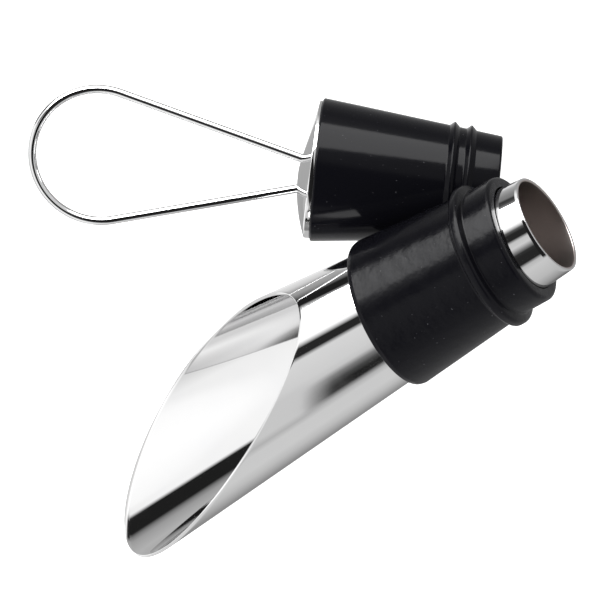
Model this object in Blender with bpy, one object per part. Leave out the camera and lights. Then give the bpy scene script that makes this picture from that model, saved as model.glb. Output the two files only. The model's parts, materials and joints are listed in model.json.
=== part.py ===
"""Conical pouring spout with a rubber sleeve, and its pull-out stopper.

Two loose pieces of one set lie together: the spout rests on the tip of its scoop
and leans on the narrow end of the stopper. Metres, +Z up, +X from scoop to neck.
"""
import math

import bmesh
import bpy
from mathutils import Matrix, Vector

MM = 0.001
SEGMENTS = 72

# Spout tube, measured along its own axis from the neck rim
RIM_RADIUS = 7.2
TUBE_WALL = 0.5
TUBE_TAPER = math.tan(math.radians(5.22))
HEEL_AT = 35.6
TIP_AT = 88.4
CUT_BULGE = 0.87

# Rubber sleeve on the spout, same axis; it is pushed on slightly askew
SLEEVE_END = 4.2
SLEEVE_MOUTH = 27.2
SLEEVE_GAP = 0.25
SLEEVE_SKEW = 0.075

# Stopper, measured along its own axis from the wide end of the rubber
STOPPER_WIDE = 10.45
STOPPER_NARROW = 7.45
STOPPER_LENGTH = 26.3
RIB_AT = (19.28, 21.73)
RIB_HEIGHT = 0.7
SHEATH_WALL = 1.6
CORE_LENGTH = 22.5

# Thin steel cap on the wide end; its domed face is pressed a little to one side
CAP_RADIUS = 10.0
CAP_FACE = 9.6
CAP_GAP = 0.3
CAP_BAND = 0.45
CAP_DOME = 1.8
CAP_WALL = 0.4
CAP_TILT = 0.03
CAP_LOPSIDED = 0.45

# Wire loop in the cap
WIRE_RADIUS = 0.65
LOOP_RADIUS = 9.8
LOOP_APEX = 6.0
LOOP_REACH = 37.6
LOOP_LEAN = math.radians(-0.67)
LOOP_SHIFT = -0.7
WIRE_START = 5.0

# Where the two pieces lie
SPOUT_LEAN = math.radians(9.99)
SCOOP_TURN = math.radians(130.35)
SPOUT_RIM = (42.089, -17.972, 28.385)
STOPPER_YAW = math.radians(-38.91)
STOPPER_PITCH = math.radians(-4.29)
STOPPER_WIDE_AT = (14.972, 3.304, 10.470)


def clear_scene():
    for obj in list(bpy.data.objects):
        bpy.data.objects.remove(obj, do_unlink=True)


def material(name, colour, roughness, metallic):
    mat = bpy.data.materials.new(name)
    mat.use_nodes = True
    shader = mat.node_tree.nodes["Principled BSDF"]
    shader.inputs["Base Color"].default_value = (*colour, 1.0)
    shader.inputs["Roughness"].default_value = roughness
    shader.inputs["Metallic"].default_value = metallic
    return mat


def add_object(name, mesh, parent, mat=None):
    obj = bpy.data.objects.new(name, mesh)
    bpy.context.scene.collection.objects.link(obj)
    obj.parent = parent
    if mat:
        mesh.materials.append(mat)
    return obj


def add_axis(name, position, rotation):
    """An empty whose +Z is the axis of the pieces it carries."""
    empty = bpy.data.objects.new(name, None)
    empty.location = Vector(position) * MM
    empty.rotation_euler = rotation
    bpy.context.scene.collection.objects.link(empty)
    return empty


def turned(name, profile, segments=SEGMENTS):
    """Turn a closed (radius, height) outline about Z; a point at radius 0 becomes a pole."""
    bm = bmesh.new()
    verts = [bm.verts.new((r * MM, 0.0, z * MM)) for r, z in profile]
    edges = []
    for a, b in zip(verts, verts[1:] + verts[:1]):
        if a.co.x > 0.0 or b.co.x > 0.0:
            edges.append(bm.edges.new((a, b)))
    bmesh.ops.spin(bm, geom=verts + edges, axis=(0, 0, 1), cent=(0, 0, 0),
                   angle=math.tau, steps=segments, use_merge=True)
    bmesh.ops.remove_doubles(bm, verts=bm.verts, dist=1e-7)
    bmesh.ops.recalc_face_normals(bm, faces=bm.faces)
    mesh = bpy.data.meshes.new(name)
    bm.to_mesh(mesh)
    bm.free()
    return mesh


def smooth(mesh, angle=30.0):
    mesh.shade_smooth()
    mesh.set_sharp_from_angle(angle=math.radians(angle))


def arc(centre, radius, start, end, steps):
    """Points of an arc in the (radius, height) plane, angles in degrees."""
    points = []
    for i in range(steps + 1):
        a = math.radians(start + (end - start) * i / steps)
        points.append((centre[0] + radius * math.cos(a), centre[1] + radius * math.sin(a)))
    return points


def cut_with(obj, cutter, operation="DIFFERENCE"):
    cutter.hide_render = True
    cutter.display_type = "WIRE"
    mod = obj.modifiers.new(cutter.name, "BOOLEAN")
    mod.operation = operation
    mod.solver = "EXACT"
    mod.object = cutter


# Spout tube ---------------------------------------------------------------

def tube_radius(along):
    """Outer radius of the cone at a distance from the neck rim."""
    return RIM_RADIUS + TUBE_TAPER * along


def tube_profile():
    end = TIP_AT + 6.0
    inner = TUBE_WALL
    return [
        (tube_radius(end), -end),
        (tube_radius(45.0), -45.0),
        (tube_radius(0.15), -0.15),
        (RIM_RADIUS - 0.12, 0.0),
        (RIM_RADIUS - inner + 0.1, 0.0),
        (tube_radius(0.15) - inner, -0.15),
        (tube_radius(45.0) - inner, -45.0),
        (tube_radius(end) - inner, -end),
    ]


def scoop_cutter(parent):
    """A block whose lower face is the slightly bowed slant of the scoop."""
    steps = 24
    heel = tube_radius(HEEL_AT)
    tip = -tube_radius(TIP_AT)
    slant = []
    for i in range(-2, steps + 3):
        s = i / steps
        across = heel + (tip - heel) * s + 4.0 * CUT_BULGE * s * (1.0 - s)
        slant.append((across, -(HEEL_AT + (TIP_AT - HEEL_AT) * s)))
    outline = slant + [(30.0, slant[-1][1]), (30.0, slant[0][1])]
    bm = bmesh.new()
    verts = [bm.verts.new((x * MM, -0.03, z * MM)) for x, z in outline]
    face = bm.faces.new(verts)
    sweep = bmesh.ops.extrude_face_region(bm, geom=[face])
    moved = [g for g in sweep["geom"] if isinstance(g, bmesh.types.BMVert)]
    bmesh.ops.translate(bm, verts=moved, vec=(0.0, 0.06, 0.0))
    bmesh.ops.recalc_face_normals(bm, faces=bm.faces)
    mesh = bpy.data.meshes.new("scoop_cutter")
    bm.to_mesh(mesh)
    bm.free()
    cutter = add_object("scoop_cutter", mesh, parent)
    cutter.rotation_euler = (0.0, 0.0, SCOOP_TURN)
    return cutter


def mouth_cutter(parent):
    """Trims what is left of the cone beyond the tip."""
    mesh = bpy.data.meshes.new("mouth_cutter")
    bm = bmesh.new()
    bmesh.ops.create_cube(bm, size=1.0)
    bmesh.ops.scale(bm, verts=bm.verts, vec=(0.08, 0.08, 0.03))
    bmesh.ops.translate(bm, verts=bm.verts, vec=(0.0, 0.0, -TIP_AT * MM - 0.015))
    bm.to_mesh(mesh)
    bm.free()
    return add_object("mouth_cutter", mesh, parent)


def build_tube(axis):
    steel = material("polished_steel_tube", (0.80, 0.80, 0.81), 0.08, 1.0)
    mesh = turned("spout_tube", tube_profile(), 96)
    tube = add_object("spout_tube", mesh, axis, steel)
    smooth(mesh)
    cut_with(tube, scoop_cutter(axis))
    cut_with(tube, mouth_cutter(axis))
    return tube


# Rubber sleeve ------------------------------------------------------------

def sleeve_profile():
    """Outer side from the neck end down to the wide mouth, then back up the bore."""
    outer = [
        (8.6, -SLEEVE_END),
        (9.05, -SLEEVE_END - 0.25),
        (9.25, -SLEEVE_END - 0.8),
        (9.28, -6.2),
        (9.3, -7.8),
        (9.55, -8.35),
        (10.15, -8.75),
        (10.4, -9.3),
        (10.4, -10.2),
        (10.15, -10.7),
        (9.65, -11.15),
        (9.6, -12.2),
        (10.3, -19.0),
        (10.95, -25.6),
        (11.1, -26.3),
        (10.95, -26.9),
        (10.55, -SLEEVE_MOUTH),
    ]
    inner = [
        (tube_radius(SLEEVE_MOUTH) + SLEEVE_GAP, -SLEEVE_MOUTH),
        (tube_radius(SLEEVE_END) + SLEEVE_GAP, -SLEEVE_END),
    ]
    return outer + inner


def build_sleeve(axis):
    rubber = material("black_rubber_sleeve", (0.012, 0.012, 0.015), 0.42, 0.0)
    mesh = turned("spout_sleeve", sleeve_profile())
    askew = Matrix.Identity(4)
    askew[2][1] = SLEEVE_SKEW
    mesh.transform(askew)
    smooth(mesh)
    return add_object("spout_sleeve", mesh, axis, rubber)


# Stopper ------------------------------------------------------------------

def sheath_radius(along):
    return STOPPER_WIDE + (STOPPER_NARROW - STOPPER_WIDE) * along / STOPPER_LENGTH


def sheath_profile():
    outer = [(STOPPER_WIDE - 0.35, 0.0), (STOPPER_WIDE, 0.35)]
    for at in RIB_AT:
        outer.append((sheath_radius(at - 0.75), at - 0.75))
        outer.append((sheath_radius(at) + RIB_HEIGHT * 0.75, at - 0.35))
        outer.append((sheath_radius(at) + RIB_HEIGHT, at))
        outer.append((sheath_radius(at) + RIB_HEIGHT * 0.75, at + 0.35))
        outer.append((sheath_radius(at + 0.75), at + 0.75))
    outer.append((sheath_radius(STOPPER_LENGTH - 0.4), STOPPER_LENGTH - 0.4))
    outer.append((STOPPER_NARROW - 0.4, STOPPER_LENGTH))
    pocket = CORE_LENGTH + 0.3
    inner = [
        (0.0, STOPPER_LENGTH),
        (0.0, pocket),
        (sheath_radius(pocket) - SHEATH_WALL, pocket),
        (STOPPER_WIDE - SHEATH_WALL, 0.0),
    ]
    return outer + inner


def core_profile():
    """Rigid plug inside the sheath, with a shallow recess for the wire ends."""
    clearance = SHEATH_WALL + 0.3
    top = 0.35
    return [
        (3.4, top),
        (sheath_radius(top) - clearance - 0.2, top),
        (sheath_radius(top + 0.3) - clearance, top + 0.3),
        (sheath_radius(CORE_LENGTH - 0.3) - clearance, CORE_LENGTH - 0.3),
        (sheath_radius(CORE_LENGTH) - clearance - 0.3, CORE_LENGTH),
        (0.0, CORE_LENGTH),
        (0.0, 2.2),
        (3.4, 2.2),
    ]


def cap_rise(r):
    """Height of the domed face over its rim: a low cone with a rounded crown."""
    return CAP_DOME * (1.0 - (r / CAP_FACE) ** 1.55)


def cap_profile():
    """Turned-down edge band, narrow shoulder and dome, all of thin sheet."""
    top = -CAP_GAP - CAP_BAND
    outer = [
        (CAP_RADIUS - 0.1, -CAP_GAP),
        (CAP_RADIUS, -CAP_GAP - 0.08),
        (CAP_RADIUS - 0.05, top + 0.12),
        (CAP_FACE + 0.15, top),
    ]
    rings = 8
    radii = [CAP_FACE * (1.0 - i / rings) for i in range(rings + 1)]
    dome = [(r, top - 0.03 - cap_rise(r)) for r in radii]
    under = [(max(r - CAP_WALL * 0.4, 0.0), z + CAP_WALL) for r, z in dome]
    inner = [(CAP_RADIUS - CAP_WALL, -CAP_GAP)]
    return outer + dome + under[::-1][1:] + inner


def press_cap(mesh):
    """Tilt the face towards local -Y and push its crown the same way; the edge stays flat."""
    for vert in mesh.vertices:
        x, y, z = vert.co / MM
        share = min(max((-CAP_GAP - 0.08 - z) / (CAP_BAND - 0.08), 0.0), 1.0)
        r = min(math.hypot(x, y), CAP_FACE)
        lift = CAP_TILT * y + CAP_LOPSIDED * cap_rise(r) * y / CAP_FACE
        vert.co.z += share * lift * MM


def loop_points():
    """Centre line of the wire: in one leg, round the loop and back along the other leg."""
    half = math.asin(LOOP_RADIUS / LOOP_REACH)
    centre = Vector((0.0, LOOP_APEX - LOOP_REACH))
    tangent = LOOP_REACH * math.cos(half)
    points = []
    start = WIRE_START
    for i in range(9):
        d = start + (tangent - start) * i / 8.0
        points.append(Vector((d * math.sin(half), LOOP_APEX - d * math.cos(half))))
    sweep = math.pi + 2.0 * half
    for i in range(1, 32):
        a = half - sweep * i / 32.0
        points.append(centre + LOOP_RADIUS * Vector((math.cos(a), math.sin(a))))
    for i in range(8, -1, -1):
        d = start + (tangent - start) * i / 8.0
        points.append(Vector((-d * math.sin(half), LOOP_APEX - d * math.cos(half))))
    turn = Matrix.Rotation(LOOP_LEAN, 2)
    apex = Vector((0.0, LOOP_APEX))
    return [apex + turn @ (p - apex) + Vector((LOOP_SHIFT, 0.0)) for p in points]


def wire_curve(name, points, radius, parent, mat=None):
    curve = bpy.data.curves.new(name, "CURVE")
    curve.dimensions = "3D"
    curve.bevel_depth = radius * MM
    curve.bevel_resolution = 4
    curve.use_fill_caps = True
    spline = curve.splines.new("POLY")
    spline.points.add(len(points) - 1)
    for target, p in zip(spline.points, points):
        target.co = (0.0, p.x * MM, p.y * MM, 1.0)
    return add_object(name, curve, parent, mat)


def wire_drill(name, a, b, parent):
    """A straight cutter around one leg of the wire, a little wider than the wire."""
    start = Vector((0.0, a.x, a.y)) * MM
    end = Vector((0.0, b.x, b.y)) * MM
    way = end - start
    place = Matrix.Translation((start + end) / 2.0) @ way.to_track_quat("Z", "Y").to_matrix().to_4x4()
    bm = bmesh.new()
    bmesh.ops.create_cone(bm, cap_ends=True, segments=24, radius1=(WIRE_RADIUS + 0.12) * MM,
                          radius2=(WIRE_RADIUS + 0.12) * MM, depth=way.length, matrix=place)
    mesh = bpy.data.meshes.new(name)
    bm.to_mesh(mesh)
    bm.free()
    return add_object(name, mesh, parent)


def build_stopper(axis):
    rubber = material("black_rubber_sheath", (0.010, 0.010, 0.012), 0.33, 0.0)
    plastic = material("dark_plastic_core", (0.03, 0.03, 0.03), 0.5, 0.0)
    steel = material("polished_steel_cap", (0.80, 0.80, 0.81), 0.07, 1.0)
    wire = material("polished_steel_wire", (0.78, 0.78, 0.79), 0.10, 1.0)

    sheath_mesh = turned("stopper_sheath", sheath_profile())
    smooth(sheath_mesh)
    add_object("stopper_sheath", sheath_mesh, axis, rubber)

    core_mesh = turned("stopper_core", core_profile(), 48)
    smooth(core_mesh)
    add_object("stopper_core", core_mesh, axis, plastic)

    cap_mesh = turned("stopper_cap", cap_profile(), 60)
    press_cap(cap_mesh)
    smooth(cap_mesh)
    cap = add_object("stopper_cap", cap_mesh, axis, steel)

    points = loop_points()
    wire_curve("loop_handle", points, WIRE_RADIUS, axis, wire)
    cut_with(cap, wire_drill("wire_drill_0", points[0], points[2], axis))
    cut_with(cap, wire_drill("wire_drill_1", points[-1], points[-3], axis))


clear_scene()
spout_axis = add_axis("spout_axis", SPOUT_RIM, (0.0, math.radians(90.0) - SPOUT_LEAN, 0.0))
stopper_axis = add_axis("stopper_axis", STOPPER_WIDE_AT,
                        (0.0, math.radians(90.0) - STOPPER_PITCH, STOPPER_YAW))
build_tube(spout_axis)
build_sleeve(spout_axis)
build_stopper(stopper_axis)
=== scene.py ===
"""Polished steel pouring spout with a rubber sleeve, leaning on its stopper with a wire loop."""
import json
import math

import bmesh
import bpy
from mathutils import Matrix, Vector


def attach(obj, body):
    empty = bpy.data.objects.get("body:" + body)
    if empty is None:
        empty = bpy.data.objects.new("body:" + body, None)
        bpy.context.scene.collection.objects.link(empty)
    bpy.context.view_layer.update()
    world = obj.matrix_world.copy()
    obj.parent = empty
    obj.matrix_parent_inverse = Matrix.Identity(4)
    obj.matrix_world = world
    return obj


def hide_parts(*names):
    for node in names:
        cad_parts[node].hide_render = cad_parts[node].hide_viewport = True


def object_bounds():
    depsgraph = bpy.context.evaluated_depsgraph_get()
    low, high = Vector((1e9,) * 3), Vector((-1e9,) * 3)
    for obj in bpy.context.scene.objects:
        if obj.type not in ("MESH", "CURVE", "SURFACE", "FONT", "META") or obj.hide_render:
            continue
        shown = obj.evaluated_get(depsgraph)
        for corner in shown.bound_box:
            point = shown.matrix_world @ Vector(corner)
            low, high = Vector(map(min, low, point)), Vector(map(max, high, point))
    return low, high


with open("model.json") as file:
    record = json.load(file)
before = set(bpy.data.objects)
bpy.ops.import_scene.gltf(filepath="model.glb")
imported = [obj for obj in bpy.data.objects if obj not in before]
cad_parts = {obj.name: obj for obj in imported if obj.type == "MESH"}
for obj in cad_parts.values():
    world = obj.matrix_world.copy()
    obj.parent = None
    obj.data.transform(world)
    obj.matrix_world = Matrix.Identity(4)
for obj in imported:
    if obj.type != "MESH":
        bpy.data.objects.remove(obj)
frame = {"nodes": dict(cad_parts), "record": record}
cad_low, cad_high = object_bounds()

MM = 0.001

# Spout tube, in millimetres, with distances along its axis from the neck rim
RIM_RADIUS = 7.2
RIM_ROUNDING_OUTSIDE = 0.12
RIM_ROUNDING_INSIDE = 0.1
TUBE_WALL = 0.5
TUBE_TAPER = math.tan(math.radians(5.22))
HEEL_AT = 35.6
TIP_AT = 88.4
CUT_BULGE = 0.87
LIP_ROUNDING = 0.10
# Depth past which the bore is rougher, brownish and darker as painted shade, and the length over
# which that fades in
BORE_DULL_AND_SHADED = 24.0
BORE_FADE = 6.0
SCOOP_TURN = math.radians(130.35)

# Rubber sleeve: where it starts and ends along the tube, and how far it sits askew
SLEEVE_END = 4.0
SLEEVE_MOUTH = 27.2
SLEEVE_FIT = 0.1
SLEEVE_SKEW = 0.075

# Stopper, distances along its axis from the wide end of its rubber
STOPPER_WIDE = 10.45
STOPPER_NARROW = 7.45
STOPPER_LENGTH = 26.3
RIB_AT = (19.28, 21.73)
RIB_HEIGHT = 0.7
SHEATH_WALL = 1.6
CAP_RADIUS = 10.0
CAP_FACE = 9.6
CAP_EDGE = 0.75
CAP_SEAT = 0.04
CAP_DOME = 1.8
CAP_WALL = 0.4
CAP_TILT = 0.03
CAP_LOPSIDED = 0.45

# Wire loop
WIRE_RADIUS = 0.64
LOOP_RADIUS = 9.8
LOOP_APEX = 6.0
LOOP_REACH = 37.6
LOOP_LEAN = math.radians(-0.67)
LOOP_SHIFT = -0.7
WIRE_START = 5.0

# Camera
CAMERA_AT = Vector((0.117967, 0.056816, 0.451642))
CAMERA_RIGHT = Vector((0.8242, -0.55095, -0.131)).normalized()
CAMERA_BACK = Vector((0.2513, 0.14854, 0.95644)).normalized()
CAMERA_UP = CAMERA_BACK.cross(CAMERA_RIGHT).normalized()
CAMERA_LENS = 189.0

# Studio. The set is white all round. The dark and light bands in the polished steel come from
# reflectors wrapped round the spout's axis, whose panels only shiny surfaces see.
FLOOR_GAP = 0.00002
FLOOR_REACH = 4.0
FLOOR_GLOW = 0.7
LAMP_AT = Vector((-0.15, 0.25, 0.7))
LAMP_POWER = 3.0
LAMP_SIZE = 0.6
SOFTBOX_TONE = 11.0
REFLECTOR_REACH = 4.0
FAR_SIDE_LEAN = 0.12

# Each row lists where its panels begin and end, as (degrees round from the camera's side, tone).
# Negative angles go over the top of the set, positive ones pass below it. A row is named for the
# part of the spout that mirrors it: the outside at the neck, further down its body and towards
# its tip, then the scoop's open half, its heel, deeper in, and the bore.
NECK_PANELS = ((-180, 0.45), (-165, 1.0), (-144, 1.0), (-134, 0.6), (-112, 0.35), (-103, 0.3),
               (-97, 0.05), (-89, 0.1), (-77, 0.7), (-70, 1.6), (-33, 1.6), (-24, 0.15),
               (-18, 0.03), (-7, 0.03), (-1, 0.85), (10, 0.95), (19, 0.35), (25, 0.05),
               (32, 0.03), (48, 0.03), (55, 0.75), (66, 0.9), (104, 0.75), (136, 0.42),
               (152, 0.2), (180, 0.2))
BODY_PANELS = ((-180, 0.6), (-168, 1.1), (-146, 1.0), (-136, 0.93), (-126, 0.6), (-112, 0.48),
               (-104, 0.26), (-97, 0.02), (-85, 0.02), (-79, 0.9), (-73, 1.6), (-29, 1.6),
               (-21, 0.03), (-11, 0.03), (-5, 1.05), (24, 0.97), (32, 0.88), (40, 0.31),
               (48, 0.1), (56, 0.02), (64, 0.03), (73, 0.7), (82, 0.92), (104, 0.92), (120, 0.77),
               (136, 0.54), (152, 0.34), (166, 0.3), (180, 0.4))

# Towards the tip the dark panel below the spout gives way to a light one
BELOW_BODY = (24, 73)
TIP_PANELS = tuple((turn, 0.9 if BELOW_BODY[0] < turn < BELOW_BODY[1] else tone)
                   for turn, tone in BODY_PANELS)

SCOOP_PANELS = ((-180, 0.4), (-128, 0.66), (-112, 0.57), (-104, 0.5), (-97, 0.3), (-91, 0.02),
                (-69, 0.02), (-64, 1.42), (-20, 1.47), (48, 1.35), (64, 1.1), (90, 0.8), (180, 0.6))
HEEL_PANELS = ((-180, 0.6), (-114, 0.7), (-103, 0.55), (-96, 0.03), (-73, 0.03), (-64, 1.2),
               (-54, 1.5), (-10, 1.6), (30, 1.55), (60, 1.4), (90, 0.9), (180, 0.6))
DEEP_PANELS = ((-180, 1.4), (-100, 1.2), (-54, 2.0), (30, 2.2), (90, 1.4), (180, 1.4))
BORE_PANELS = ((-180, 1.3), (-150, 1.7), (-90, 1.7), (-80, 1.0), (150, 1.0), (180, 1.3))

# The camera's own side is dark with light above it, and the neck's side is plain
CAMERA_PANELS = ((-180, 0.5), (-118, 0.5), (-100, 1.4), (-37, 1.4), (-31, 0.02), (56, 0.02),
                 (62, 0.9), (100, 0.75), (180, 0.5))
SIDE_PANELS = ((-180, 0.5), (-118, 0.5), (-100, 1.3), (-60, 1.3), (-40, 1.0), (60, 0.8),
               (180, 0.5))


# Places taken from the frame -------------------------------------------------

def mount(name):
    for entry in frame["record"]["mounts"]:
        if entry["name"] == name:
            return Vector(entry["pos_m"]), Vector(entry["axis"]).normalized()
    raise KeyError(name)


def axis_frame(origin, axis):
    """Local +Z along the axis, local +Y level, local +X down."""
    level = Vector((0, 0, 1)).cross(axis).normalized()
    down = level.cross(axis)
    turn = Matrix((down, level, axis)).transposed().to_4x4()
    return Matrix.Translation(origin) @ turn


def spout_frame():
    """The spout's axis, which passes under the mount on the upper part of the rim's flat."""
    on_rim, axis = mount("neck_rim")
    outward = (Vector((0, 0, 1)) - axis * axis.z).normalized()
    outer_edge = RIM_RADIUS - RIM_ROUNDING_OUTSIDE
    inner_edge = RIM_RADIUS - TUBE_WALL + RIM_ROUNDING_INSIDE
    middle = (outer_edge + inner_edge) / 2.0
    return axis_frame(on_rim - outward * middle * MM, axis)


def stopper_frame():
    foot, axis = mount("stopper_foot")
    return axis_frame(foot - axis * STOPPER_LENGTH * MM, axis)


# Shape helpers ---------------------------------------------------------------

def rounded(corners, steps=6):
    """A (radius, height) outline whose corners are given as (radius, height, fillet radius)."""
    points = []
    count = len(corners)
    for i, (x, y, fillet) in enumerate(corners):
        here = Vector((x, y))
        if fillet <= 0.0:
            points.append(here)
            continue
        before = (Vector(corners[i - 1][:2]) - here).normalized()
        after = (Vector(corners[(i + 1) % count][:2]) - here).normalized()
        half = before.angle(after) / 2.0
        reach = fillet / math.tan(half)
        centre = here + (before + after).normalized() * (fillet / math.sin(half))
        start = here + before * reach - centre
        swing = start.angle_signed(here + after * reach - centre)
        for k in range(steps + 1):
            points.append(centre + Matrix.Rotation(-swing * k / steps, 2) @ start)
    return points


def turned(outline, segments):
    """Turn a closed (radius, height) outline in millimetres about Z."""
    bm = bmesh.new()
    verts = [bm.verts.new((p.x * MM, 0.0, p.y * MM)) for p in outline]
    edges = [bm.edges.new(pair) for pair in zip(verts, verts[1:] + verts[:1])
             if pair[0].co.x > 0.0 or pair[1].co.x > 0.0]
    bmesh.ops.spin(bm, geom=verts + edges, axis=(0, 0, 1), cent=(0, 0, 0),
                   angle=math.tau, steps=segments, use_merge=True)
    bmesh.ops.remove_doubles(bm, verts=bm.verts, dist=1e-7)
    bmesh.ops.recalc_face_normals(bm, faces=bm.faces)
    return bm


def place_piece(bm, name, where, body, nodes, surface, sharp=40.0):
    """Finish a piece: keep its own axis coordinates as an attribute, then bake its place."""
    mesh = bpy.data.meshes.new(name)
    bm.to_mesh(mesh)
    bm.free()
    own = mesh.attributes.new("axis_place", "FLOAT_VECTOR", "POINT")
    for value, vert in zip(own.data, mesh.vertices):
        value.vector = vert.co / MM
    mesh.transform(where)
    mesh.shade_smooth()
    mesh.set_sharp_from_angle(angle=math.radians(sharp))
    mesh.materials.append(surface)
    piece = bpy.data.objects.new(name, mesh)
    bpy.context.scene.collection.objects.link(piece)
    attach(piece, body)
    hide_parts(*nodes)
    return piece


# Materials -------------------------------------------------------------------

class Surface:
    """A Principled material with short calls for adding its nodes."""

    def __init__(self, name, colour, roughness, metallic=0.0):
        self.material = bpy.data.materials.new(name)
        self.material.use_nodes = True
        self.tree = self.material.node_tree
        self.shader = self.tree.nodes["Principled BSDF"]
        self.shader.inputs["Base Color"].default_value = (*colour, 1.0)
        self.shader.inputs["Roughness"].default_value = roughness
        self.shader.inputs["Metallic"].default_value = metallic

    def add(self, kind, **settings):
        node = self.tree.nodes.new(kind)
        for key, value in settings.items():
            setattr(node, key, value)
        return node

    def link(self, out, into):
        self.tree.links.new(out, into)

    def own_axis(self, stretch=(1.0, 1.0, 1.0)):
        """The piece's own axis coordinates in millimetres, stretched."""
        place = self.add("ShaderNodeAttribute", attribute_name="axis_place")
        mapping = self.add("ShaderNodeMapping")
        mapping.inputs["Scale"].default_value = stretch
        self.link(place.outputs["Vector"], mapping.inputs["Vector"])
        return mapping.outputs["Vector"]

    def object_space(self, stretch):
        place = self.add("ShaderNodeTexCoord")
        mapping = self.add("ShaderNodeMapping")
        mapping.inputs["Scale"].default_value = stretch
        self.link(place.outputs["Object"], mapping.inputs["Vector"])
        return mapping.outputs["Vector"]

    def noise(self, where, scale, detail=3.0, roughness=0.5):
        node = self.add("ShaderNodeTexNoise")
        node.inputs["Scale"].default_value = scale
        node.inputs["Detail"].default_value = detail
        node.inputs["Roughness"].default_value = roughness
        self.link(where, node.inputs["Vector"])
        return node.outputs["Fac"]

    def spread(self, value, low, high, to_low, to_high):
        node = self.add("ShaderNodeMapRange")
        node.inputs["From Min"].default_value = low
        node.inputs["From Max"].default_value = high
        node.inputs["To Min"].default_value = to_low
        node.inputs["To Max"].default_value = to_high
        self.link(value, node.inputs["Value"])
        return node.outputs["Result"]

    def compute(self, operation, first, second=None):
        node = self.add("ShaderNodeMath", operation=operation)
        for value, socket in zip((first, second), node.inputs):
            if isinstance(value, (int, float)):
                socket.default_value = value
            elif value is not None:
                self.link(value, socket)
        return node.outputs["Value"]

    def tint(self, value, low, high):
        node = self.add("ShaderNodeMix", data_type="RGBA")
        node.inputs["A"].default_value = (*low, 1.0)
        node.inputs["B"].default_value = (*high, 1.0)
        self.link(value, node.inputs["Factor"])
        self.link(node.outputs["Result"], self.shader.inputs["Base Color"])

    def bump(self, height, distance, strength=1.0, under=None):
        node = self.add("ShaderNodeBump")
        node.inputs["Distance"].default_value = distance
        node.inputs["Strength"].default_value = strength
        self.link(height, node.inputs["Height"])
        if under is not None:
            self.link(under, node.inputs["Normal"])
        return node.outputs["Normal"]

    def finish_normal(self, normal):
        self.link(normal, self.shader.inputs["Normal"])


def polished_steel(name, grain):
    """Mirror-polished stainless steel with handling haze and faint lines drawn along a grain."""
    steel = Surface(name, (0.63, 0.63, 0.635), 0.03, 1.0)
    haze = steel.noise(steel.own_axis(), 0.22, 4.0)
    steel.link(steel.spread(haze, 0.35, 0.75, 0.025, 0.06), steel.shader.inputs["Roughness"])
    steel.tint(haze, (0.62, 0.62, 0.625), (0.645, 0.643, 0.64))
    lines = steel.noise(steel.own_axis(grain), 6.0, 2.0)
    steel.finish_normal(steel.bump(lines, 0.0000004, 0.25))
    return steel


def tube_steel():
    """Mirror-polished outside and scoop. The bore behind the neck is rougher, with a brownish tint
    and a darker base colour that is painted shade in the recess.
    """
    steel = polished_steel("polished_steel_tube", grain=(1.0, 1.0, 0.03))
    place = steel.add("ShaderNodeSeparateXYZ")
    steel.link(steel.own_axis(), place.inputs["Vector"])
    squares = [steel.compute("MULTIPLY", place.outputs[axis], place.outputs[axis]) for axis in "XY"]
    radius = steel.compute("SQRT", steel.compute("ADD", *squares))
    widening = steel.compute("MULTIPLY", place.outputs["Z"], TUBE_TAPER)
    wall = steel.compute("ADD", widening, radius)
    inside = steel.spread(wall, RIM_RADIUS - 0.3, RIM_RADIUS - 0.25, 1.0, 0.0)
    near_neck = steel.spread(place.outputs["Z"], -BORE_DULL_AND_SHADED - BORE_FADE, -BORE_DULL_AND_SHADED, 0.0, 1.0)
    share = steel.compute("MULTIPLY", inside, near_neck)
    # Deep in the bore: higher roughness, and a darker brownish base colour that paints in the shade
    # of the recess
    dull_and_shaded_bore = (("Roughness", "FLOAT", 0.30), ("Base Color", "RGBA", (0.41, 0.37, 0.355, 1.0)))
    for socket, kind, bore_value in dull_and_shaded_bore:
        blend = steel.add("ShaderNodeMix", data_type=kind)
        steel.link(share, blend.inputs["Factor"])
        steel.link(steel.shader.inputs[socket].links[0].from_socket, blend.inputs["A"])
        blend.inputs["B"].default_value = bore_value
        steel.link(blend.outputs["Result"], steel.shader.inputs[socket])
    return steel.material


def wire_steel():
    steel = Surface("bright_drawn_wire", (0.62, 0.62, 0.625), 0.06, 1.0)
    haze = steel.noise(steel.object_space((1.0, 1.0, 1.0)), 400.0, 4.0)
    steel.link(steel.spread(haze, 0.3, 0.7, 0.04, 0.10), steel.shader.inputs["Roughness"])
    steel.tint(haze, (0.60, 0.60, 0.605), (0.65, 0.65, 0.65))
    steel.finish_normal(steel.bump(haze, 0.000001, 0.3))
    return steel.material


def black_rubber(name, roughness, gloss, grain):
    """Moulded black rubber: soft sheen, fine grain and a few dust specks."""
    rubber = Surface(name, (0.004, 0.004, 0.0055), roughness)
    rubber.shader.inputs["Specular IOR Level"].default_value = gloss
    place = rubber.own_axis()
    cloud = rubber.noise(place, 0.35, 5.0)
    rubber.link(rubber.spread(cloud, 0.3, 0.7, roughness * 0.9, roughness * 1.15),
                rubber.shader.inputs["Roughness"])
    specks = rubber.noise(place, 2.6, 1.0)
    rubber.tint(rubber.spread(specks, 0.765, 0.80, 0.0, 1.0),
                (0.0035, 0.0035, 0.005), (0.05, 0.05, 0.055))
    fine = rubber.noise(place, 9.0, 3.0)
    soft = rubber.noise(place, 0.6, 2.0)
    waves = rubber.bump(soft, 0.00006, grain)
    rubber.finish_normal(rubber.bump(fine, 0.000004, grain, waves))
    return rubber.material


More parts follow.
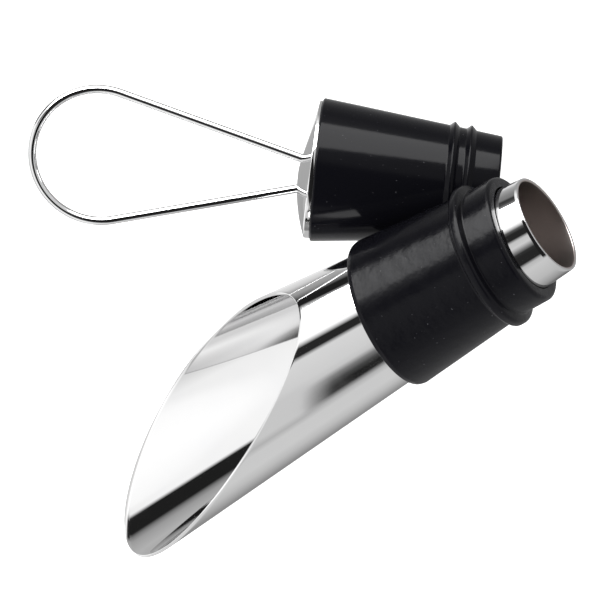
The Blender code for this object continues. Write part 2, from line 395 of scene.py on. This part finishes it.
def dark_plastic():
    plastic = Surface("moulded_core_plastic", (0.03, 0.03, 0.03), 0.5)
    grain = plastic.noise(plastic.object_space((1.0, 1.0, 1.0)), 900.0, 4.0)
    plastic.link(plastic.spread(grain, 0.3, 0.7, 0.42, 0.58), plastic.shader.inputs["Roughness"])
    plastic.tint(grain, (0.026, 0.026, 0.026), (0.035, 0.035, 0.036))
    plastic.finish_normal(plastic.bump(grain, 0.00001, 0.4))
    return plastic.material


# Spout tube ------------------------------------------------------------------

def tube_radius(along):
    return RIM_RADIUS + TUBE_TAPER * along


def cut_across(along):
    """How far towards the heel side the scoop's bowed cut stands at a distance from the rim."""
    s = (along - HEEL_AT) / (TIP_AT - HEEL_AT)
    heel, tip = tube_radius(HEEL_AT), -tube_radius(TIP_AT)
    return heel + (tip - heel) * s + 4.0 * CUT_BULGE * s * (1.0 - s)


def cut_at(angle):
    """Where the cut meets the line of the cone at an angle from the heel."""
    low, high = HEEL_AT, TIP_AT
    for _ in range(40):
        middle = (low + high) / 2.0
        if tube_radius(middle) * math.cos(angle) < cut_across(middle):
            low = middle
        else:
            high = middle
    return low


def build_tube(where, surface):
    """Spin one line into a sleeve, draw each of its lines out to the cut, then give it its wall."""
    around, rings = 320, 64
    near_neck = -0.02
    bm = bmesh.new()
    line = [bm.verts.new((RIM_RADIUS * MM, 0.0, -k / rings)) for k in range(rings + 1)]
    edges = [bm.edges.new(pair) for pair in zip(line, line[1:])]
    bmesh.ops.spin(bm, geom=line + edges, axis=(0, 0, 1), cent=(0, 0, 0),
                   angle=math.tau, steps=around, use_merge=True)
    for vert in bm.verts:
        angle = math.atan2(vert.co.y, vert.co.x)
        along = -vert.co.z * cut_at(angle)
        radius = tube_radius(along) * MM
        vert.co = (radius * math.cos(angle), radius * math.sin(angle), -along * MM)
    bmesh.ops.rotate(bm, verts=bm.verts, cent=(0, 0, 0), matrix=Matrix.Rotation(SCOOP_TURN, 3, "Z"))
    bm.normal_update()
    centres = [(face, face.calc_center_median()) for face in bm.faces]
    if any(face.normal.dot(at) < 0.0 for face, at in centres if at.z > near_neck):
        bmesh.ops.reverse_faces(bm, faces=bm.faces)
    bmesh.ops.solidify(bm, geom=bm.faces[:], thickness=TUBE_WALL * MM)
    bm.normal_update()
    sharp = math.radians(50)
    lips = [e for e in bm.edges if len(e.link_faces) == 2 and e.calc_face_angle() > sharp]
    bmesh.ops.bevel(bm, geom=lips, offset=LIP_ROUNDING * MM, segments=3, profile=0.5,
                    affect="EDGES", material=-1)
    return place_piece(bm, "polished_tube", where, "spout", ["spout_tube"], surface)


# Rubber sleeve ---------------------------------------------------------------

def build_sleeve(where, surface):
    bore_end = tube_radius(SLEEVE_END) + SLEEVE_FIT
    bore_mouth = tube_radius(SLEEVE_MOUTH) + SLEEVE_FIT
    outline = rounded([
        (bore_end, -SLEEVE_END, 0.12),
        (9.3, -SLEEVE_END, 0.55),
        (9.3, -8.5, 0.25),
        (10.5, -8.8, 0.5),
        (10.5, -10.0, 0.5),
        (9.55, -10.45, 0.35),
        (11.1, -26.5, 0.4),
        (10.95, -SLEEVE_MOUTH, 0.25),
        (bore_mouth, -SLEEVE_MOUTH, 0.12),
    ])
    bm = turned(outline, 256)
    askew = Matrix.Identity(4)
    askew[2][1] = SLEEVE_SKEW
    bmesh.ops.transform(bm, matrix=askew, verts=bm.verts)
    return place_piece(bm, "neck_sleeve", where, "spout", ["spout_sleeve"], surface)


# Stopper ---------------------------------------------------------------------

def sheath_radius(along):
    return STOPPER_WIDE + (STOPPER_NARROW - STOPPER_WIDE) * along / STOPPER_LENGTH


def build_sheath(where, surface):
    corners = [(STOPPER_WIDE, 0.0, 0.3)]
    for at in RIB_AT:
        corners += [
            (sheath_radius(at - 0.75), at - 0.75, 0.35),
            (sheath_radius(at) + RIB_HEIGHT, at, 0.22),
            (sheath_radius(at + 0.75), at + 0.75, 0.35),
        ]
    pocket = 22.8
    corners += [
        (STOPPER_NARROW, STOPPER_LENGTH, 0.35),
        (0.0, STOPPER_LENGTH, 0.0),
        (0.0, pocket, 0.0),
        (sheath_radius(pocket) - SHEATH_WALL, pocket, 0.2),
        (STOPPER_WIDE - SHEATH_WALL, 0.0, 0.1),
    ]
    bm = turned(rounded(corners), 256)
    return place_piece(bm, "ribbed_sheath", where, "stopper", ["stopper_sheath"], surface)


def cap_rise(radius):
    """Height of the domed face over its rim: a low cone with a rounded crown."""
    return CAP_DOME * (1.0 - (radius / CAP_FACE) ** 1.55)


def press_cap(bm):
    """Tilt the face and push its crown the same way, while the edge stays flat on the rubber."""
    flat_part = 0.38
    for vert in bm.verts:
        x, y, z = vert.co / MM
        share = min(max((-flat_part - z) / (CAP_EDGE - flat_part), 0.0), 1.0)
        radius = min(math.hypot(x, y), CAP_FACE)
        lift = CAP_TILT * y + CAP_LOPSIDED * cap_rise(radius) * y / CAP_FACE
        vert.co.z += share * lift * MM


def build_cap(where, surface):
    rings = 28
    radii = [CAP_FACE * (1.0 - i / rings) for i in range(rings + 1)]
    face = [(r, -CAP_EDGE - 0.03 - cap_rise(r), 0.0) for r in radii]
    inside = [(max(r - CAP_WALL * 0.4, 0.0), z + CAP_WALL, 0.0) for r, z, _ in reversed(face)]
    corners = [
        (CAP_RADIUS - CAP_WALL, -CAP_SEAT, 0.0),
        (CAP_RADIUS, -CAP_SEAT, 0.06),
        (CAP_RADIUS, -CAP_EDGE + 0.1, 0.1),
        (CAP_FACE + 0.12, -CAP_EDGE, 0.06),
        *face,
        *inside[1:],
    ]
    bm = turned(rounded(corners, 4), 256)
    press_cap(bm)
    return place_piece(bm, "domed_cap", where, "stopper", ["stopper_cap"], surface, 25.0)


# Wire loop -------------------------------------------------------------------

def loop_line():
    """Centre line of the wire in its own (sideways, along) plane, in millimetres."""
    half = math.asin(LOOP_RADIUS / LOOP_REACH)
    tangent = LOOP_REACH * math.cos(half)
    centre = Vector((0.0, LOOP_APEX - LOOP_REACH))
    leg = [WIRE_START + (tangent - WIRE_START) * i / 24.0 for i in range(25)]
    points = [Vector((d * math.sin(half), LOOP_APEX - d * math.cos(half))) for d in leg]
    sweep = math.pi + 2.0 * half
    for i in range(1, 96):
        a = half - sweep * i / 96.0
        points.append(centre + LOOP_RADIUS * Vector((math.cos(a), math.sin(a))))
    points += [Vector((-p.x, p.y)) for p in reversed(points[:25])]
    turn = Matrix.Rotation(LOOP_LEAN, 2)
    apex = Vector((0.0, LOOP_APEX))
    return [apex + turn @ (p - apex) + Vector((LOOP_SHIFT, 0.0)) for p in points]


def build_loop(where, surface):
    line = loop_line()
    curve = bpy.data.curves.new("pull_loop", "CURVE")
    curve.dimensions = "3D"
    curve.bevel_depth = WIRE_RADIUS * MM
    curve.bevel_resolution = 10
    curve.use_fill_caps = True
    spline = curve.splines.new("POLY")
    spline.points.add(len(line) - 1)
    for target, p in zip(spline.points, line):
        target.co = (*(where @ Vector((0.0, p.x * MM, p.y * MM))), 1.0)
    spline.use_smooth = True
    curve.materials.append(surface)
    loop = bpy.data.objects.new("pull_loop", curve)
    bpy.context.scene.collection.objects.link(loop)
    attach(loop, "stopper")
    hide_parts("loop_handle")
    return loop


# Studio ----------------------------------------------------------------------

def plain_material(name, colour, roughness):
    paper = Surface(name, colour, roughness)
    grain = paper.noise(paper.object_space((1.0, 1.0, 1.0)), 900.0, 2.0)
    paper.link(paper.spread(grain, 0.3, 0.7, roughness - 0.03, roughness + 0.03),
               paper.shader.inputs["Roughness"])
    return paper.material


def build_floor():
    bm = bmesh.new()
    bmesh.ops.create_grid(bm, x_segments=4, y_segments=4, size=FLOOR_REACH)
    bmesh.ops.translate(bm, verts=bm.verts, vec=(0.0, 0.0, cad_low.z - FLOOR_GAP))
    mesh = bpy.data.meshes.new("floor")
    bm.to_mesh(mesh)
    bm.free()
    paper = plain_material("white_paper_floor", (0.93, 0.93, 0.93), 0.9)
    shader = paper.node_tree.nodes["Principled BSDF"]
    shader.inputs["Emission Color"].default_value = (1.0, 1.0, 1.0, 1.0)
    shader.inputs["Emission Strength"].default_value = FLOOR_GLOW
    mesh.materials.append(paper)
    floor = bpy.data.objects.new("floor", mesh)
    bpy.context.scene.collection.objects.link(floor)
    floor.visible_glossy = False


def finish_panel(bm, name, tone=None):
    """Make a glowing panel that only shiny surfaces see, from one tone or the tones it carries."""
    mesh = bpy.data.meshes.new(name)
    bm.to_mesh(mesh)
    bm.free()
    glow = bpy.data.materials.new(name)
    glow.use_nodes = True
    nodes, links = glow.node_tree.nodes, glow.node_tree.links
    nodes.remove(nodes["Principled BSDF"])
    light = nodes.new("ShaderNodeEmission")
    if tone is None:
        own = nodes.new("ShaderNodeAttribute")
        own.attribute_name = "tone"
        links.new(own.outputs["Fac"], light.inputs["Strength"])
        glow.cycles.emission_sampling = "NONE"
    else:
        light.inputs["Strength"].default_value = tone
    links.new(light.outputs[0], nodes["Material Output"].inputs["Surface"])
    mesh.materials.append(glow)
    panel = bpy.data.objects.new(name, mesh)
    bpy.context.scene.collection.objects.link(panel)
    panel.visible_camera = False
    panel.visible_diffuse = False
    panel.visible_shadow = False
    panel.visible_transmission = False


def studio_card(name, centre, across, upward, tone):
    """A flat card. across and upward are its half sides."""
    bm = bmesh.new()
    bmesh.ops.create_grid(bm, x_segments=1, y_segments=1, size=1.0)
    for vert in bm.verts:
        vert.co = centre + across * vert.co.x + upward * vert.co.y
    finish_panel(bm, name, tone)


def tone_at(panels, turn):
    """The tone at an angle, blended evenly between the edges on its two sides."""
    for (start, first), (end, last) in zip(panels, panels[1:]):
        if turn <= end:
            return first + (last - first) * (turn - start) / (end - start)
    return panels[-1][1]


def wrapped_reflector(name, leans, rows):
    """A strip right round the spout's axis. rows are (lean, panels), and their tones blend.

    A lean is the cosine of the angle from the neck's end of the axis, on the camera's side. On
    the far side the strip sits nearer the tip, because the camera looks from the neck's end.
    """
    axis = mount("neck_rim")[1]
    near = (CAMERA_BACK - axis * CAMERA_BACK.dot(axis)).normalized()
    side = axis.cross(near)
    bm = bmesh.new()
    bmesh.ops.create_grid(bm, x_segments=360, y_segments=40, size=0.5)
    layer = bm.verts.layers.float.new("tone")
    for vert in bm.verts:
        turn = 360.0 * vert.co.x
        lean = leans[0] + (leans[1] - leans[0]) * (vert.co.y + 0.5)
        tone = tone_at(rows[0][1], turn)
        for (above, upper), (below, lower) in zip(rows, rows[1:]):
            share = min(max((above - lean) / (above - below), 0.0), 1.0)
            if share > 0.0:
                tone = tone_at(upper, turn) * (1.0 - share) + tone_at(lower, turn) * share
        vert[layer] = tone
        angle = math.radians(turn)
        along = lean - FAR_SIDE_LEAN * (1.0 - math.cos(angle)) / 2.0 * min(1.0, 1.0 - lean)
        outward = near * math.cos(angle) + side * math.sin(angle)
        vert.co = REFLECTOR_REACH * (axis * along + outward * math.sqrt(1.0 - along * along))
    finish_panel(bm, name)


def build_camera():
    data = bpy.data.cameras.new("camera")
    data.sensor_width = 36.0
    data.lens = CAMERA_LENS
    data.clip_start = 0.01
    camera = bpy.data.objects.new("camera", data)
    turn = Matrix((CAMERA_RIGHT, CAMERA_UP, CAMERA_BACK)).transposed().to_4x4()
    camera.matrix_world = Matrix.Translation(CAMERA_AT) @ turn
    bpy.context.scene.collection.objects.link(camera)
    bpy.context.scene.camera = camera


def seen(right, up, back):
    """A direction given as the camera sees it."""
    return CAMERA_RIGHT * right + CAMERA_UP * up + CAMERA_BACK * back


def build_light():
    world = bpy.data.worlds.new("studio")
    world.use_nodes = True
    background = world.node_tree.nodes["Background"]
    background.inputs["Color"].default_value = (1.0, 1.0, 1.0, 1.0)
    background.inputs["Strength"].default_value = 1.0
    bpy.context.scene.world = world
    data = bpy.data.lights.new("overhead", "AREA")
    data.energy = LAMP_POWER
    data.size = LAMP_SIZE
    lamp = bpy.data.objects.new("overhead", data)
    lamp.location = LAMP_AT
    lamp.rotation_mode = "QUATERNION"
    lamp.rotation_quaternion = LAMP_AT.to_track_quat("Z", "Y")
    lamp.visible_glossy = False
    bpy.context.scene.collection.objects.link(lamp)
    # Long softbox beyond the upper edge of the set
    studio_card("softbox", seen(-0.18, 0.82, 0.579),
                seen(0.81, 0.28, 0.139), seen(-0.05, -0.29, 0.36), SOFTBOX_TONE)
    wrapped_reflector("outer_reflector", (-0.10, -0.36), (
        (-0.20, NECK_PANELS), (-0.21, BODY_PANELS), (-0.241, BODY_PANELS), (-0.246, TIP_PANELS)))
    wrapped_reflector("inner_reflector", (-0.36, -0.86), (
        (-0.59, SCOOP_PANELS), (-0.60, HEEL_PANELS), (-0.64, HEEL_PANELS),
        (-0.66, DEEP_PANELS), (-0.70, BORE_PANELS)))
    wrapped_reflector("camera_reflector", (0.94, -0.10), (
        (0.56, SIDE_PANELS), (0.50, CAMERA_PANELS)))
    bpy.context.scene.view_settings.view_transform = "Standard"


def main():
    build_camera()
    spout, stopper = spout_frame(), stopper_frame()
    build_tube(spout, tube_steel())
    build_sleeve(spout, black_rubber(
        "satin_rubber_sleeve", roughness=0.2, gloss=0.1, grain=0.8))
    build_sheath(stopper, black_rubber(
        "smooth_rubber_sheath", roughness=0.13, gloss=0.07, grain=0.12))
    build_cap(stopper, polished_steel(
        "polished_steel_cap", grain=(1.0, 1.0, 1.0)).material)
    build_loop(stopper, wire_steel())
    frame["nodes"]["stopper_core"].data.materials.clear()
    frame["nodes"]["stopper_core"].data.materials.append(dark_plastic())
    build_floor()
    build_light()


main()
